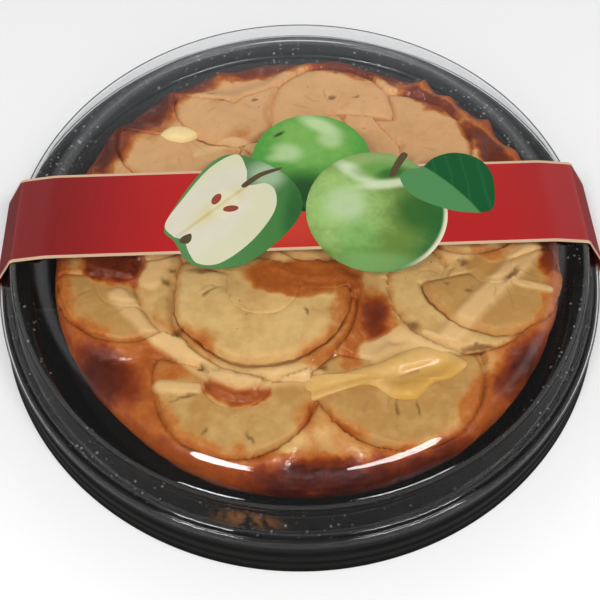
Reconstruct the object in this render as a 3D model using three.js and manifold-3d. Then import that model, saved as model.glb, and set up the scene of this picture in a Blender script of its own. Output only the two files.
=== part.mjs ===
import * as THREE from "three";
import { mergeVertices } from "three/addons/utils/BufferGeometryUtils.js";
import Module from "manifold-3d";

// A round apple tart in its shut shop pack: a black tray, a clear lid, and a card sleeve round both.
// Millimetres, +Z up, the front at -Y. The origin lies under the middle of the pack, on the table.

// General fits
const GAP = 0.3;
const CARD = 0.5;
const ROUND_STEPS = 48;

// Tray: a well for the tart, a ledge round it, and a skirt that flares down to the table
const TRAY_WALL = 0.8;
const FOOT_Z = CARD + GAP;
const TRAY_HEIGHT = 22;
const RIM_Z = FOOT_Z + TRAY_HEIGHT;
const RIM_RADIUS = 124.4;
const FOOT_RADIUS = 128.2;
const FOOT_LIP = 0.9;
const RIM_WIDTH = 2.6;
const LEDGE_HEIGHT = TRAY_HEIGHT - 1.2;
const LEDGE_INNER = 115;
const WELL_RADIUS = 110;
const WELL_FLOOR = 3;

// Lid: a plateau with a rounded step, a shoulder, a sloping wall and a lip over the tray's rim
const LID_WALL = 0.6;
const LID_RISE = 18.8;
const LID_TOP = RIM_Z + LID_RISE;
const PLATEAU_RADIUS = 99;
const PLATEAU_STEP = 2;
const SHOULDER_RADIUS = 112;
const SHOULDER_ROUND = 5;
const LID_WALL_FOOT = 121;
const LID_LIP_RADIUS = 125.9;
const LID_LIP_DROP = 2.4;

// Sleeve: one loop of card, a little off the middle and turned a little
const SLEEVE_WIDTH = 41;
const SLEEVE_OFFSET = 7.2;
const SLEEVE_TURN = THREE.MathUtils.degToRad(2.3);
const SLEEVE_SLACK = 0.4;

// Tart
const TART_RADIUS = 106.5;
const TART_OFFSET = 3;
const TART_FLOOR = FOOT_Z + WELL_FLOOR + GAP;
const TART_TOP = RIM_Z + 4.4;
const TART_EDGE_ROUND = 5;
const SLICE_THICKNESS = 7;
const SLICE_BEVEL = 1.4;
const SLICE_LEVEL = TART_TOP - 0.4;

const degrees = THREE.MathUtils.degToRad;
const wasm = await Module();
wasm.setup();

// A closed geometry as a solid that can be joined and cut.
function toSolid(geometry) {
  const plain = geometry.index ? geometry.toNonIndexed() : geometry.clone();
  plain.deleteAttribute("normal");
  plain.deleteAttribute("uv");
  const merged = mergeVertices(plain, 1e-3);
  const triVerts = new Uint32Array(merged.index.array);
  return new wasm.Manifold(
    new wasm.Mesh({ numProp: 3, vertProperties: merged.attributes.position.array, triVerts }),
  );
}

function toGeometry(solid) {
  const { vertProperties, triVerts } = solid.getMesh();
  const geometry = new THREE.BufferGeometry();
  geometry.setAttribute("position", new THREE.BufferAttribute(vertProperties, 3));
  geometry.setIndex(new THREE.BufferAttribute(triVerts, 1));
  geometry.computeVertexNormals();
  return geometry;
}

// The points of an open path, moved sideways by a distance, to its right as it runs.
function besidePath(points, distance) {
  const sides = points.slice(1).map((p, i) => p.clone().sub(points[i]).normalize());
  return points.map((point, i) => {
    const before = sides[Math.max(i - 1, 0)];
    const after = sides[Math.min(i, sides.length - 1)];
    const across = new THREE.Vector2(before.y + after.y, -before.x - after.x).normalize();
    const stretch = across.x * after.y - across.y * after.x;
    return point.clone().addScaledVector(across, distance / stretch);
  });
}

// A thin wall turned about the Z axis: its shown side, and the same path one thickness behind it.
// It starts on the axis, or it is a ring, and then its section closes on itself.
function turnedWall(path, thickness) {
  const shown = path.getPoints(1);
  const behind = besidePath(shown, thickness);
  const isRing = shown[0].x > 0;
  if (!isRing) behind[0].x = 0;
  const section = [...behind, ...shown.reverse(), ...(isRing ? [behind[0]] : [])];
  return new THREE.LatheGeometry(section, ROUND_STEPS).rotateX(Math.PI / 2);
}

function mesh(name, geometry, color, roughness, extra = {}) {
  const material = new THREE.MeshStandardMaterial({ color, roughness, metalness: 0, ...extra });
  const made = new THREE.Mesh(geometry, material);
  made.name = name;
  return made;
}

// The tray's well and the ledge round it.
function tray() {
  const path = new THREE.Path();
  path.moveTo(0, WELL_FLOOR);
  path.lineTo(WELL_RADIUS - 3, WELL_FLOOR);
  path.lineTo(WELL_RADIUS, WELL_FLOOR + 3);
  path.lineTo(LEDGE_INNER, LEDGE_HEIGHT);
  path.lineTo(RIM_RADIUS - RIM_WIDTH - GAP, LEDGE_HEIGHT);
  const made = mesh("tray", turnedWall(path, TRAY_WALL), 0x0d0d0e, 0.25);
  made.position.z = FOOT_Z;
  return made;
}

// The tray's rim and its skirt, with a ridge half way down and a lip at the foot.
function traySkirt() {
  const path = new THREE.Path();
  path.moveTo(RIM_RADIUS - RIM_WIDTH, LEDGE_HEIGHT - TRAY_WALL);
  path.lineTo(RIM_RADIUS - RIM_WIDTH + 0.8, TRAY_HEIGHT);
  path.lineTo(RIM_RADIUS - 0.5, TRAY_HEIGHT);
  path.lineTo(RIM_RADIUS + 0.1, TRAY_HEIGHT - 0.8);
  path.lineTo(RIM_RADIUS + 1, TRAY_HEIGHT * 0.62);
  path.lineTo(RIM_RADIUS + 2.1, TRAY_HEIGHT * 0.56);
  path.lineTo(FOOT_RADIUS, FOOT_LIP + 1);
  path.lineTo(FOOT_RADIUS + FOOT_LIP, FOOT_LIP);
  const made = mesh("tray_skirt", turnedWall(path, TRAY_WALL), 0x0d0d0e, 0.25);
  made.position.z = FOOT_Z;
  return made;
}

function lid() {
  const path = new THREE.Path();
  const annulus = LID_RISE - PLATEAU_STEP;
  path.moveTo(0, LID_RISE);
  path.lineTo(PLATEAU_RADIUS - 1.4, LID_RISE);
  path.lineTo(PLATEAU_RADIUS, LID_RISE - 0.6);
  path.lineTo(PLATEAU_RADIUS + 1.2, annulus);
  path.absarc(SHOULDER_RADIUS, annulus - SHOULDER_ROUND, SHOULDER_ROUND, degrees(85), degrees(15), true);
  path.lineTo(LID_WALL_FOOT - 0.6, 4.2);
  path.lineTo(LID_WALL_FOOT + 0.8, GAP + LID_WALL);
  path.lineTo(LID_LIP_RADIUS - 0.5, GAP + LID_WALL);
  path.lineTo(LID_LIP_RADIUS, -LID_LIP_DROP);
  const extra = { transparent: true, opacity: 0.25 };
  const made = mesh("lid", turnedWall(path, LID_WALL), 0xf2f6f8, 0.08, extra);
  made.position.z = RIM_Z;
  return made;
}

// The right half of the sleeve's inner outline, from the middle of the top down to the table.
function sleeveHalf() {
  const path = new THREE.Path();
  const annulus = LID_TOP - PLATEAU_STEP;
  path.moveTo(PLATEAU_RADIUS, LID_TOP + GAP);
  path.lineTo(SHOULDER_RADIUS, annulus + SLEEVE_SLACK);
  path.absarc(SHOULDER_RADIUS, annulus - SHOULDER_ROUND, SHOULDER_ROUND + SLEEVE_SLACK,
    degrees(70), degrees(25), true);
  path.lineTo(LID_LIP_RADIUS + SLEEVE_SLACK, RIM_Z + 1);
  path.lineTo(LID_LIP_RADIUS + SLEEVE_SLACK + 0.3, RIM_Z - LID_LIP_DROP);
  path.lineTo(FOOT_RADIUS + FOOT_LIP + SLEEVE_SLACK, FOOT_Z + FOOT_LIP);
  path.lineTo(FOOT_RADIUS + FOOT_LIP + SLEEVE_SLACK, CARD);
  return path.getPoints(1);
}

function sleeveLoop() {
  const right = sleeveHalf();
  const left = right.map((p) => new THREE.Vector2(-p.x, p.y)).reverse();
  const inner = [...left, ...right];
  const section = new THREE.Shape(outward(inner, CARD).reverse());
  section.holes.push(new THREE.Path(inner));
  const geometry = new THREE.ExtrudeGeometry(section, { depth: SLEEVE_WIDTH, bevelEnabled: false });
  return geometry.rotateX(Math.PI / 2).translate(0, SLEEVE_WIDTH / 2, 0);
}

function ellipseOutline(x, y, across, along, turn = 0) {
  const curve = new THREE.EllipseCurve(x, y, across, along, 0, 2 * Math.PI, false, turn);
  return curve.getPoints(28).slice(1);
}

function smoothOutline(points, steps) {
  const curve = new THREE.CatmullRomCurve3(points.map(([x, y]) => new THREE.Vector3(x, y, 0)), true);
  return curve.getPoints(steps).slice(1).map((p) => new THREE.Vector2(p.x, p.y));
}

// A closed clockwise outline, moved outwards by a distance.
function outward(outline, distance) {
  const wrapped = [outline.at(-1), ...outline, outline[0]];
  return besidePath(wrapped, -distance).slice(1, -1);
}

// The pictured fruit reaches past the sleeve's edges: the card is cut round it.
function fruitCard() {
  const halfFruit = [[-27, 35], [-41, 26], [-54.5, -1], [-50, -10], [-41, -21], [-20, -19], [0, 3], [-4, 22]];
  const leaf = [[41, 27], [55, 35], [67, 36], [78, 25], [81, 10], [76, 2.5], [62, 6], [50, 14]];
  const outlines = [
    smoothOutline(halfFruit, 24),
    ellipseOutline(5, 31, 25.5, 26),
    ellipseOutline(31.5, 6, 29, 30),
    smoothOutline(leaf, 20),
  ];
  return outlines.map((outline) =>
    new THREE.ExtrudeGeometry(new THREE.Shape(outline), { depth: CARD, bevelEnabled: false })
      .translate(0, -SLEEVE_OFFSET, LID_TOP + GAP)
      .rotateZ(-SLEEVE_TURN),
  );
}

function sleeve() {
  const joined = fruitCard().reduce((whole, piece) => whole.add(toSolid(piece)), toSolid(sleeveLoop()));
  const made = mesh("sleeve", toGeometry(joined), 0xa3151b, 0.35);
  made.position.y = SLEEVE_OFFSET;
  made.rotation.z = SLEEVE_TURN;
  return made;
}

// How far the baked edge stands out or up at an angle: slow waves all round and a few sharp crags.
function edgeWave(angle) {
  return 0.4 * Math.sin(3 * angle + 0.6) + 0.3 * Math.sin(7 * angle + 2.1) + 0.3 * Math.sin(13 * angle);
}

const CRAGS = [
  { at: 58, width: 3.6, height: 5 },
  { at: 50, width: 3, height: 2.4 },
  { at: 38, width: 3.4, height: 4.6 },
  { at: 27, width: 4, height: 2.6 },
  { at: 113, width: 4, height: 2 },
];

function cragHeight(angle) {
  const turned = THREE.MathUtils.radToDeg(angle);
  const steep = CRAGS.map(({ at, width, height }) => height * (1 - Math.abs(turned - at) / width));
  return Math.max(0, ...steep);
}

function tartBlank() {
  const path = new THREE.Path();
  path.moveTo(0, TART_FLOOR);
  path.lineTo(TART_RADIUS - 6, TART_FLOOR);
  path.lineTo(TART_RADIUS - 3, TART_FLOOR + 3);
  path.lineTo(TART_RADIUS - 0.5, TART_TOP - TART_EDGE_ROUND - 3);
  path.absarc(TART_RADIUS - TART_EDGE_ROUND, TART_TOP - TART_EDGE_ROUND, TART_EDGE_ROUND,
    degrees(0), degrees(75), false);
  [84, 56, 28].forEach((radius) => path.lineTo(radius, TART_TOP - 0.4));
  path.lineTo(0, TART_TOP);
  const geometry = new THREE.LatheGeometry(path.getPoints(1), 66).rotateX(Math.PI / 2);
  roughen(geometry.attributes.position);
  return geometry.translate(TART_OFFSET, 0, 0);
}

// Waves the top, and lifts and pushes out the edge.
function roughen(place) {
  for (let i = 0; i < place.count; i++) {
    const [x, y, z] = [place.getX(i), place.getY(i), place.getZ(i)];
    const radius = Math.hypot(x, y);
    const angle = Math.atan2(y, x);
    const height = THREE.MathUtils.smoothstep(z, TART_FLOOR + 2, TART_TOP);
    const nearEdge = THREE.MathUtils.smoothstep(radius, TART_RADIUS - 9, TART_RADIUS - 3);
    const crag = cragHeight(angle) * nearEdge * height;
    const wave = edgeWave(angle) * nearEdge;
    const ripple = 0.5 * Math.sin(x / 9) * Math.cos(y / 11) * (1 - nearEdge);
    const stretch = radius > 1 ? 1 + (wave * (0.4 + 0.6 * height) + 0.35 * crag) / radius : 1;
    place.setXYZ(i, x * stretch, y * stretch, z + (ripple + 0.5 * wave + crag) * height);
  }
}

// A flat piece of apple with its edges bevelled, its middle at height 0. The hollow that it leaves in
// what it lies on is `grow` larger all round and has sharp edges.
function applePiece(outline, grow) {
  const thickness = SLICE_THICKNESS + 2 * grow;
  const depth = grow > 0 ? thickness : thickness - 2 * SLICE_BEVEL;
  const geometry = new THREE.ExtrudeGeometry(outline, {
    depth,
    curveSegments: 6,
    bevelEnabled: grow === 0,
    bevelThickness: SLICE_BEVEL,
    bevelSize: SLICE_BEVEL,
    bevelOffset: -SLICE_BEVEL,
    bevelSegments: 1,
  });
  return geometry.translate(0, 0, -depth / 2);
}

// One half-round slice cut across an apple, open at the core, lying face up. It has the place and height
// of its middle (at), its outer and core radius (rings), the way its cut side faces and the angle left
// out there (cut), and by how much it is tilted and which side is raised (tilt).
function slice({ at: [x, y, lift], rings: [radius, core], cut: [open, gape], tilt: [tip, high] }, grow) {
  const start = degrees(open + gape / 2);
  const end = degrees(open + 360 - gape / 2);
  const outline = new THREE.Shape();
  outline.absarc(0, 0, radius + grow, start - grow / radius, end + grow / radius, false);
  outline.absarc(0, 0, core - grow, end + grow / core, start - grow / core, true);
  const axis = new THREE.Vector3(Math.sin(degrees(high)), -Math.cos(degrees(high)), 0);
  const placed = new THREE.Matrix4()
    .makeRotationAxis(axis, degrees(tip))
    .setPosition(x, y, SLICE_LEVEL + lift);
  return toSolid(applePiece(outline, grow).applyMatrix4(placed));
}

// Bottom to top: each slice is cut back where a later one lies on it.
const SLICES = [
  { name: "slice_front_left", at: [-24, -63, 0], rings: [33, 11], cut: [80, 170], tilt: [3, 270] },
  { name: "slice_front_right", at: [38, -59, 0], rings: [34, 8], cut: [90, 150], tilt: [3, 270] },
  { name: "slice_left_under", at: [-69, -19, 0], rings: [30, 12], cut: [100, 150], tilt: [3, 250] },
  { name: "slice_right_under", at: [67, -21, 0.4], rings: [32, 7], cut: [50, 160], tilt: [2, 230] },
  { name: "slice_right_over", at: [78, -15, 1.6], rings: [30, 6], cut: [110, 170], tilt: [4, 200] },
  { name: "slice_middle_left", at: [-33, -16, 0.4], rings: [35, 9], cut: [0, 190], tilt: [2, 250] },
  { name: "slice_middle_under", at: [-14, -27, 0.4], rings: [38, 14], cut: [85, 170], tilt: [3, 265] },
  { name: "slice_middle", at: [-15, -23, 2.4], rings: [36, 12], cut: [80, 160], tilt: [4, 265] },
  { name: "slice_west", at: [-66, 20, 0.6], rings: [31, 8], cut: [150, 150], tilt: [3, 280] },
  { name: "slice_east", at: [70, 22, 1], rings: [31, 8], cut: [20, 150], tilt: [3, 260] },
  { name: "slice_centre", at: [10, 20, 1], rings: [33, 8], cut: [95, 140], tilt: [3, 270] },
  { name: "slice_back_left", at: [-53, 54, 1.2], rings: [29, 7], cut: [95, 150], tilt: [3, 250] },
  { name: "slice_back_right", at: [44, 50, 1.2], rings: [33, 8], cut: [200, 150], tilt: [3, 290] },
  { name: "slice_far_middle", at: [-6, 66, 1], rings: [27, 7], cut: [100, 150], tilt: [2, 270] },
  { name: "slice_far_left", at: [-31, 76, 2], rings: [27, 7], cut: [100, 150], tilt: [3, 270] },
  { name: "slice_far_right", at: [14, 68, 1.8], rings: [29, 7], cut: [280, 150], tilt: [2, 90] },
];

// A thick curl of apple lying over the edge of a front slice.
const CURL_OUTLINE = [[3, -67], [20, -57], [40, -51], [57, -51], [66, -58], [52, -67], [39, -70], [25, -66]];
const CURL_LIFT = 3.6;

function curl(grow) {
  const outline = new THREE.Shape(outward(smoothOutline(CURL_OUTLINE, 20), grow));
  return toSolid(applePiece(outline, grow).translate(0, 0, SLICE_LEVEL + CURL_LIFT));
}

// A small bright lump of apple on the far left slices.
const LUMP = { x: -54, y: 55, along: 8.5, across: 4.6, high: 3.6, lift: 4.6 };

function lump(grow) {
  return toSolid(
    new THREE.SphereGeometry(1, 12, 6)
      .scale(LUMP.along + grow, LUMP.across + grow, LUMP.high + grow)
      .translate(LUMP.x, LUMP.y, SLICE_LEVEL + LUMP.lift),
  );
}

// Each piece of apple, and the tart under them with a bed for every piece.
function tartPieces() {
  const pieces = [
    ...SLICES.map((place) => ({ name: place.name, shape: (grow) => slice(place, grow) })),
    { name: "apple_curl", shape: curl },
    { name: "apple_lump", shape: lump },
  ];
  const group = new THREE.Group();
  let bed = toSolid(tartBlank());
  pieces.forEach(({ name, shape }, i) => {
    let piece = shape(0);
    pieces.slice(i + 1).forEach((later) => (piece = piece.subtract(later.shape(GAP))));
    bed = bed.subtract(shape(GAP));
    group.add(mesh(name, toGeometry(piece), 0xd9a866, 0.4));
  });
  group.add(mesh("tart", toGeometry(bed), 0x9c4a1c, 0.35));
  return group;
}

const pack = new THREE.Group();
pack.add(tray(), traySkirt(), lid(), sleeve(), tartPieces());

export default pack;
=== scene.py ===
import math

import bpy
from mathutils import Euler, Matrix, Vector, noise


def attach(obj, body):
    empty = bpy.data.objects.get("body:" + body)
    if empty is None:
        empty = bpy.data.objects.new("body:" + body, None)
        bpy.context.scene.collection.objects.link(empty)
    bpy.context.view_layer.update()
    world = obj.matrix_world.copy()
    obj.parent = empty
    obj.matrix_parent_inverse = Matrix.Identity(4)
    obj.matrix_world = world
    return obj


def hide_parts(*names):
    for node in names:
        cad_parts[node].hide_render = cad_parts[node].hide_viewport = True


bl_info = {
    "name": "Fruit tart in its pack",
    "version": (1, 0, 0),
    "blender": (4, 5, 0),
    "location": "View3D > Sidebar > Tart",
    "description": "Models a glazed fruit tart in a black tray with a clear lid and a printed sleeve",
    "category": "Add Mesh",
}

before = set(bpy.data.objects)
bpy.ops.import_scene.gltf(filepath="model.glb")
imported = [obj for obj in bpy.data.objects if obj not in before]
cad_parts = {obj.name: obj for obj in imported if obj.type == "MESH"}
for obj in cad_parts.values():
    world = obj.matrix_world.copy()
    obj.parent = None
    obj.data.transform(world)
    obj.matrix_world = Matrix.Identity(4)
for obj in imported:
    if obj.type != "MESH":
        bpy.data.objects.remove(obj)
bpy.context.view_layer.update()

MM = 0.001
CENTRE = Vector((0, 0, 0))

# Levels and radii of the pack, in millimetres
RIM_Z = 22.8
LID_TOP = 41.6
LID_SHOULDER = (114, 36.2)
RING_POINTS = 256
CARD_TOP = 42.3
TART_OFFSET = 3
CROWN = 27.2
CROWN_EDGE = 101
CROWN_GRID = 208
GLAZE_RING = 99
SLICE_LEVEL = 26.8
SLICE_THICKNESS = 7
SLEEVE_SHIFT = 7.2
SLEEVE_TURN = math.radians(2.3)

# What is stored at each vertex of the tart and its fruit, for the materials. The hole mark is painted shade
# in holes, cracks and creases, and the slices' vein lines
MARKS = ("glaze", "cream", "hole", "tone", "gloss")
PLAIN_TONE = 0.1

# Below this core radius a slice has no notch to fill
SMALL_CORE = 5

# A distance that nothing on the tart reaches
FAR = 99

# The curl's middle, and the way it runs as a cosine and a sine
CURL_MIDDLE = (44, -62)
CURL_WAY = (0.963, 0.27)

# Camera and lamps, in metres and watts
EYE = Vector((0.0001, -0.1984, 0.3271))
LOOK_AT = Vector((0.0001, -0.0254, 0.0228))
LAMP_AIM = Vector((0, 0, 0.03))
LAMP_POWER = 4.5

# The half-round slices, bottom to top: place and lift of the middle, outer and core radius, the way the
# cut side faces and the angle left out there, and by how much a slice tips and which side is raised.
# A core radius of 0.5 is a slice that shows no core
SLICES = {
    "slice_front_left": ((-24, -63, 0), (33, 11), (80, 170), (3, 270)),
    "slice_front_right": ((38, -59, 0), (34, 8), (90, 150), (3, 270)),
    "slice_left_under": ((-69, -19, 0), (30, 12), (100, 150), (3, 250)),
    "slice_right_under": ((67, -21, 0.4), (32, 7), (50, 160), (2, 230)),
    "slice_right_over": ((78, -15, 1.6), (30, 6), (110, 170), (4, 200)),
    "slice_middle_left": ((-33, -16, 0.4), (35, 9), (0, 190), (2, 250)),
    "slice_middle_under": ((-14, -27, 0.4), (38, 14), (85, 170), (3, 265)),
    "slice_middle": ((-15, -23, 2.4), (36, 12), (80, 160), (4, 265)),
    "slice_west": ((-66, 20, 0.6), (31, 8), (150, 150), (3, 280)),
    "slice_east": ((70, 22, 1), (31, 8), (20, 150), (3, 260)),
    "slice_centre": ((10, 20, 1), (33, 8), (95, 140), (3, 270)),
    "slice_back_left": ((-53, 54, 1.2), (29, 0.5), (95, 150), (3, 250)),
    "slice_back_right": ((44, 50, 1.2), (33, 0.5), (200, 150), (3, 290)),
    "slice_far_middle": ((-6, 66, 1), (27, 0.5), (100, 150), (2, 270)),
    "slice_far_left": ((-31, 76, 2), (27, 0.5), (100, 150), (3, 270)),
    "slice_far_right": ((14, 68, 1.8), (29, 0.5), (280, 150), (2, 90)),
}

# How brown the flesh of a slice is, 0 to 1, where it isn't pale
TONES = {
    "slice_front_left": 0.65,
    "slice_front_right": 0.75,
    "slice_left_under": 0.9,
    "slice_right_over": 0.95,
    "slice_middle_left": 0.3,
    "slice_middle": 0.08,
    "slice_back_right": 0.25,
}

# Where glaze lies deep: middle, radii and turn of each patch, its depth, and how soft its edge is
POOLS = (
    ((-76, -61), (21, 12), -42, 0.95, 0.8),
    ((-57, -57), (20, 9), -15, 0.5, 0.5),
    ((-90, -47), (13, 7), -50, 0.46, 0.5),
    ((-101, -24), (5, 18), -8, 0.46, 0.6),
    ((-75, -14), (15, 8), -20, 0.88, 0.7),
    ((-35, -9), (16, 6), 0, 0.34, 0.5),
    ((20, -30), (8, 25), 6, 0.5, 0.5),
    ((20, -54), (6, 9), 0, 0.46, 0.5),
    ((30, -38), (7, 11), 10, 0.85, 0.9),
    ((-55, -81), (8, 15), 30, 0.45, 0.5),
    ((-36, -94), (18, 6), -22, 0.46, 0.5),
    ((-8, -97), (24, 4), 4, 0.44, 0.5),
    ((10, -103), (40, 8), 3, 1.0, 0.6),
    ((46, -97), (28, 6), 24, 0.95, 0.75),
    ((68, -74), (17, 7), 64, 0.5, 0.5),
    ((87, -58), (21, 9), 52, 0.95, 0.8),
    ((99, -34), (16, 6), 72, 0.5, 0.5),
    ((103, -8), (7, 11), 0, 0.9, 0.45),
    ((-84, 49), (17, 9), 62, 0.9, 0.5),
    ((-78, 61), (14, 11), 52, 0.9, 0.5),
    ((-68, 72), (17, 11), 44, 0.9, 0.5),
    ((-54, 87), (18, 8), 28, 0.85, 0.5),
    ((-66, 61), (13, 8), 45, 0.42, 0.7),
    ((-20, 98), (24, 6.5), 6, 0.82, 0.5),
    ((28, 96), (30, 7), -12, 0.82, 0.5),
    ((61, 76), (17, 4.6), -36, 0.8, 0.45),
    ((84, 50), (17, 6), -56, 0.85, 0.5),
)

# Thick gel in the notches: middle, radii, turn and depth
GELS = (
    ((-1, -20), (22, 9), 0, 0.48),
    ((-24, -69), (14, 6), -10, 0.56),
    ((77, -8), (7, 4), -30, 0.3),
    ((-76, -13), (14, 8), -15, 0.85),
)

# Pale ridges of fruit and batter between the slices: points of each ridge, its half width and height
RIDGES = (
    (((-73, -28), (-60, -42), (-51, -49), (-37, -60), (-23, -66), (-4, -63), (6, -63)), 4.2, 1.3),
    (((96, -6), (81, -22), (68, -36), (59, -46)), 4.8, 1.8),
    (((28, -53), (39, -48), (52, -51)), 5.4, 1.0),
    (((-56, -4), (-59, -13), (-60, -20)), 5.2, 1.4),
    (((49, -45), (61, -52)), 1.8, 1.2),
    (((86, -21.5), (101, -25)), 1.7, 0.9),
    (((-53, -67.5), (-39, -68.5)), 2.6, 1.3),
    (((-45, 44), (-30, 50), (-16, 46)), 2.6, 1.0),
)

# Small deep holes and cracks: place, radii and turn
HOLES = (
    ((-54.6, -21.9), (2.6, 1.4), -30),
    ((-52.7, -15.7), (1.8, 1.3), 0),
    ((-39.5, -16.8), (7.5, 1.6), -4),
    ((-47, -43.5), (3.8, 1.1), 35),
    ((-38.5, -60.4), (2.2, 1), 0),
    ((-44, -72), (5.6, 0.7), 18),
    ((-36.4, -27.5), (3.6, 0.7), 34),
    ((2, -36), (2, 0.8), -50),
    ((-34.6, -85.3), (2.2, 0.7), 60),
    ((-18, -88.3), (3.2, 0.7), -65),
    ((66.8, -12.3), (2, 1.5), 0),
    ((60.1, -23.3), (1.3, 1), 0),
    ((67.1, -27.1), (1.4, 1.1), 0),
    ((69.7, -51), (7.5, 1.2), 4),
    ((86, -18.5), (5.4, 1), 45),
    ((45, -41), (3, 1.6), -40),
    ((9, -59.2), (1.8, 1.4), 0),
    ((36.4, -77), (2.6, 0.7), 100),
    ((44.5, -77.5), (3.4, 0.7), 97),
    ((-41, 80.8), (1.8, 1), 0),
    ((-20.8, 75.3), (1.6, 1), 0),
    ((-37, 74.7), (1.6, 0.8), -40),
    ((14.6, 76.5), (1.4, 1), 0),
    ((25.7, 76.5), (1.2, 0.9), 0),
)

# Crags of the baked edge: direction in degrees, half width and height
CRAGS = ((58, 3.6, 5), (50, 3, 2.4), (38, 3.4, 4.6), (27, 4, 2.6), (113, 4, 2))


def smooth_step(low, high, value):
    """0 below low, 1 above high, and a soft rise between them."""
    t = min(1, max(0, (value - low) / (high - low)))
    return t * t * (3 - 2 * t)


def fbm(x, y, z, size, octaves=3):
    """Soft noise about zero, with features of that size in millimetres."""
    return noise.fractal(Vector((x, y, z)) / size, 1.0, 2.0, octaves)


# Modelling helpers

def fresh(add, name, **options):
    """Adds a primitive with nothing else selected, and names it."""
    if bpy.context.object and bpy.context.object.mode != "OBJECT":
        bpy.ops.object.mode_set(mode="OBJECT")
    bpy.ops.object.select_all(action="DESELECT")
    add(**options)
    made = bpy.context.object
    made.name = name
    made.data.name = name
    return made


def edit(obj, mode="VERT", select="SELECT"):
    """Enters edit mode on an object with all or nothing selected."""
    bpy.context.view_layer.objects.active = obj
    bpy.ops.object.mode_set(mode="EDIT")
    bpy.ops.mesh.select_mode(type=mode)
    bpy.ops.mesh.select_all(action=select)


def pick(obj, wanted):
    """Selects the vertices whose place passes a test, and goes back to edit mode."""
    bpy.ops.mesh.select_all(action="DESELECT")
    bpy.ops.object.mode_set(mode="OBJECT")
    for vertex in obj.data.vertices:
        vertex.select = wanted(vertex.co)
    bpy.ops.object.mode_set(mode="EDIT")


def select_only(obj):
    """Selects one object alone and makes it the active one."""
    bpy.ops.object.select_all(action="DESELECT")
    obj.select_set(True)
    bpy.context.view_layer.objects.active = obj


def apply_modifier(obj, kind, **settings):
    """Adds a modifier, sets it and applies it."""
    select_only(obj)
    modifier = obj.modifiers.new(kind.title(), kind)
    for key, value in settings.items():
        setattr(modifier, key, value)
    bpy.ops.object.modifier_apply(modifier=modifier.name)


def soften(obj, angle):
    """Shades a piece smooth, with sharp edges above an angle."""
    select_only(obj)
    bpy.ops.object.shade_smooth_by_angle(angle=math.radians(angle))


def tidy(obj, angle=40):
    """Merges doubles, turns faces outwards and shades the piece smooth."""
    edit(obj)
    bpy.ops.mesh.remove_doubles(threshold=1e-6)
    bpy.ops.mesh.normals_make_consistent(inside=False)
    bpy.ops.object.mode_set(mode="OBJECT")
    soften(obj, angle)


def give_wall(obj, thickness):
    """Turns an open shell's faces up and outwards, then gives it a wall behind them."""
    tidy(obj, 60)
    middle = max(obj.data.polygons, key=lambda face: len(face.vertices))
    if middle.normal.z < 0:
        obj.data.flip_normals()
    apply_modifier(obj, "SOLIDIFY", thickness=thickness, offset=-1)


def settle(obj):
    """Puts the object's place, turn and scale into its mesh."""
    select_only(obj)
    bpy.ops.object.transform_apply(location=True, rotation=True, scale=True)


def arc(middle, radii, angles):
    """Points on an arc of a profile, at angles in degrees."""
    (x, z), (across, up) = middle, radii
    turns = [math.radians(angle) for angle in angles]
    return [(x + across * math.cos(turn), z + up * math.sin(turn)) for turn in turns]


def rounded(points, radius, steps):
    """A path whose inner corners are rounded, each by that radius or as much as fits."""
    path = [Vector(points[0])]
    for before, corner, after in zip(points, points[1:], points[2:]):
        before, corner, after = Vector(before), Vector(corner), Vector(after)
        back, ahead = before - corner, after - corner
        reach = min(radius, back.length * 0.45, ahead.length * 0.45)
        start = corner + back.normalized() * reach
        end = corner + ahead.normalized() * reach
        for i in range(steps + 1):
            t = i / steps
            path.append(start * (1 - t) ** 2 + corner * 2 * t * (1 - t) + end * t * t)
    path.append(Vector(points[-1]))
    return path


def follow(path, extrude):
    """Extrudes what is selected along (radius, height) points, ring by ring."""
    for (radius, height), (next_radius, next_height) in zip(path, path[1:]):
        extrude(TRANSFORM_OT_translate={"value": (0, 0, (next_height - height) * MM)})
        k = next_radius / radius
        bpy.ops.transform.resize(value=(k, k, 1), center_override=CENTRE)


def grow_rings(name, path):
    """A disc grown ring by ring from its outer edge to its middle, along (radius, height) points."""
    radius, height = path[0]
    circle = {"vertices": RING_POINTS, "radius": radius * MM, "fill_type": "NGON"}
    obj = fresh(bpy.ops.mesh.primitive_circle_add, name, location=(0, 0, height * MM), **circle)
    settle(obj)
    edit(obj, "FACE")
    follow(path, bpy.ops.mesh.extrude_region_move)
    bpy.ops.object.mode_set(mode="OBJECT")
    return obj


def oval(x, y, a, b, turn=0, count=64):
    """The outline of an ellipse, turned by an angle in degrees."""
    turned = Matrix.Rotation(math.radians(turn), 2)
    angles = [2 * math.pi * i / count for i in range(count)]
    return [Vector((x, y)) + turned @ Vector((a * math.cos(t), b * math.sin(t))) for t in angles]


def smooth_outline(points, steps):
    """A closed smooth curve through the points."""
    count = len(points)
    outline = []
    for i in range(steps):
        place = i * count / steps
        k, t = int(place), place % 1
        a, b, c, d = (Vector(points[(k + j) % count]) for j in (-1, 0, 1, 2))
        bend = 2 * a - 5 * b + 4 * c - d + t * (3 * (b - c) + d - a)
        outline.append(b + 0.5 * t * (c - a + t * bend))
    return outline


def shaped_slab(name, outline, low, high):
    """A flat piece of card with a given outline, between two heights."""
    circle = {"vertices": len(outline), "radius": 0.01, "fill_type": "NGON"}
    obj = fresh(bpy.ops.mesh.primitive_circle_add, name, **circle)
    for vertex, place in zip(obj.data.vertices, outline):
        vertex.co = (place[0] * MM, place[1] * MM, low * MM)
    edit(obj, "FACE")
    bpy.ops.mesh.extrude_region_move(TRANSFORM_OT_translate={"value": (0, 0, (high - low) * MM)})
    bpy.ops.object.mode_set(mode="OBJECT")
    return obj


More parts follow.
